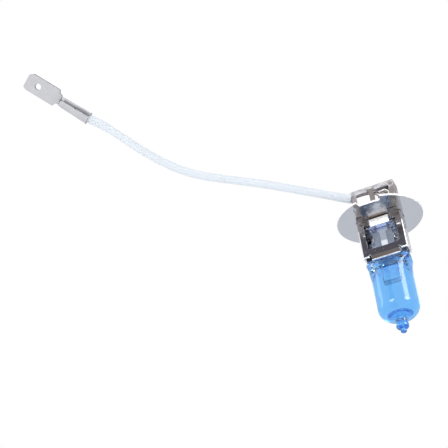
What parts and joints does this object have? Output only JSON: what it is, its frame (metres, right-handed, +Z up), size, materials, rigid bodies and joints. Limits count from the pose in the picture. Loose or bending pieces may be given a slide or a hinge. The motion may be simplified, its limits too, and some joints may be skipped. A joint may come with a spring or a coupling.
{
  "type": "halogen headlight bulb",
  "caption": "Single-filament halogen headlight capsule in a sheet-metal holder on a 22 mm prefocus disc, with a braided flying lead ending in a flat blade terminal.",
  "frame": {"origin": "centre of the prefocus disc's front reference face, on the lamp axis", "axes": "-Y along the lamp axis towards the glass tip, +Y towards the rear bracket, +Z up through the keying notch, +X to the right seen from the glass side; the lead leaves to -X"},
  "size_m": [0.0885, 0.0833, 0.0523],
  "materials": {
    "quartz_glass": "clear, sky blue tint",
    "tungsten": "dull",
    "molybdenum": "dull",
    "plated_sheet": "polished nickel plate",
    "plated_disc": "polished nickel plate",
    "glass_fibre_braid": "woven, slightly silky",
    "copper_strand": "tinned copper strands",
    "tinned_brass": "satin tin plate"
  },
  "bodies": {
    "bulb": {"glass_envelope": "quartz_glass", "filament_coil": "tungsten", "filament_leg_left": "molybdenum", "filament_leg_right": "molybdenum", "moly_foil_left": "molybdenum", "moly_foil_right": "molybdenum", "outer_pin_ground": "molybdenum", "outer_pin_live": "molybdenum", "holder_front_shell": "plated_sheet", "holder_back_shell": "plated_sheet", "focus_disc": "plated_disc", "rear_bracket": "plated_sheet", "splice_clip": "plated_sheet", "lead_conductor_root": "copper_strand", "lead_sleeve_root": "glass_fibre_braid"},
    "lead_1": {"lead_sleeve_1": "glass_fibre_braid", "lead_conductor_1": "copper_strand"},
    "lead_2": {"lead_sleeve_2": "glass_fibre_braid", "lead_conductor_2": "copper_strand"},
    "lead_3": {"lead_sleeve_3": "glass_fibre_braid", "lead_conductor_3": "copper_strand"},
    "lead_end": {"lead_sleeve_4": "glass_fibre_braid", "lead_conductor_4": "copper_strand", "blade_terminal": "tinned_brass"}
  },
  "joints": [
    {"name": "lead_root_swing", "type": "hinge", "parent": "bulb", "child": "lead_1", "pos_m": [-0.00812, 0.00893, 0.00179], "axis": [0, 0, 1], "range_deg": [-40, 40]},
    {"name": "lead_inner_bend", "type": "hinge", "parent": "lead_1", "child": "lead_2", "pos_m": [-0.02529, 0.01515, 0.00918], "axis": [-0.3361, -0.9418, 0], "range_deg": [-40, 40]},
    {"name": "lead_outer_swing", "type": "hinge", "parent": "lead_2", "child": "lead_3", "pos_m": [-0.04417, 0.02208, 0.0167], "axis": [0, 0, 1], "range_deg": [-40, 40]},
    {"name": "terminal_bend", "type": "hinge", "parent": "lead_3", "child": "lead_end", "pos_m": [-0.05991, 0.03521, 0.02781], "axis": [-0.6861, -0.7275, 0], "range_deg": [-35, 35]}
  ]
}
